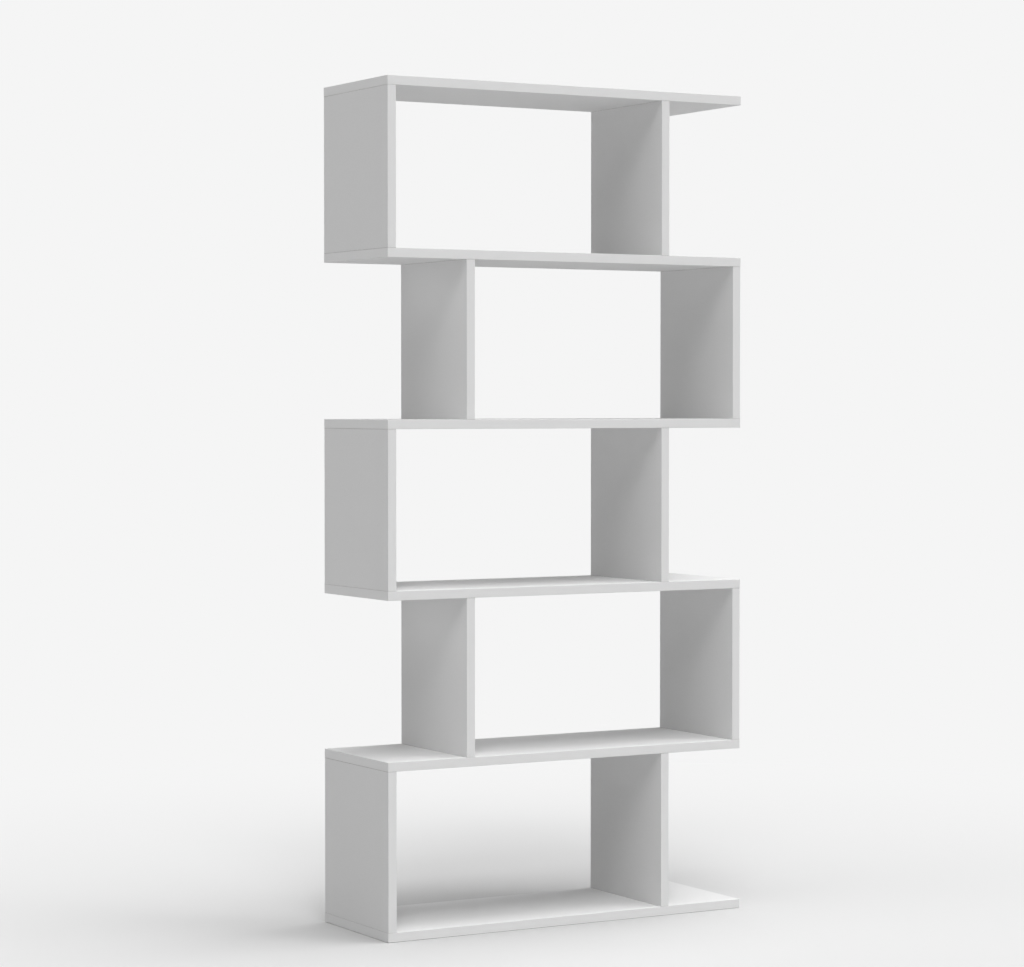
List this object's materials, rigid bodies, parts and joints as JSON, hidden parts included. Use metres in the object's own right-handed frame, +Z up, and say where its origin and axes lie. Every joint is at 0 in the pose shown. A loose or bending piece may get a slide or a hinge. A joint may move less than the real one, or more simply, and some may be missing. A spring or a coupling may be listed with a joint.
{
  "type": "zigzag bookshelf",
  "caption": "Tall open bookcase: level shelves on staggered uprights that zigzag from tier to tier, of white melamine board with plastic edging and hidden joints.",
  "frame": {"origin": "middle of the underside of the base shelf, on the floor", "axes": "+X to the right as seen from the front, -Y towards the viewer in front, +Z up"},
  "size_m": [0.8, 0.27, 1.638],
  "materials": {
    "white_board": "matte",
    "white_edging": "satin",
    "beech": "matte"
  },
  "bodies": {
    "root": {"shelf_1": "white_board", "shelf_1_edging": "white_edging", "shelf_2": "white_board", "shelf_2_edging": "white_edging", "shelf_3": "white_board", "shelf_3_edging": "white_edging", "shelf_4": "white_board", "shelf_4_edging": "white_edging", "shelf_5": "white_board", "shelf_5_edging": "white_edging", "shelf_6": "white_board", "shelf_6_edging": "white_edging", "upright_1_left": "white_board", "upright_1_left_edging": "white_edging", "upright_1_left_biscuits": "beech", "upright_1_right": "white_board", "upright_1_right_edging": "white_edging", "upright_1_right_biscuits": "beech", "upright_2_left": "white_board", "upright_2_left_edging": "white_edging", "upright_2_left_biscuits": "beech", "upright_2_right": "white_board", "upright_2_right_edging": "white_edging", "upright_2_right_biscuits": "beech", "upright_3_left": "white_board", "upright_3_left_edging": "white_edging", "upright_3_left_biscuits": "beech", "upright_3_right": "white_board", "upright_3_right_edging": "white_edging", "upright_3_right_biscuits": "beech", "upright_4_left": "white_board", "upright_4_left_edging": "white_edging", "upright_4_left_biscuits": "beech", "upright_4_right": "white_board", "upright_4_right_edging": "white_edging", "upright_4_right_biscuits": "beech", "upright_5_left": "white_board", "upright_5_left_edging": "white_edging", "upright_5_left_biscuits": "beech", "upright_5_right": "white_board", "upright_5_right_edging": "white_edging", "upright_5_right_biscuits": "beech"}
  },
  "joints": []
}
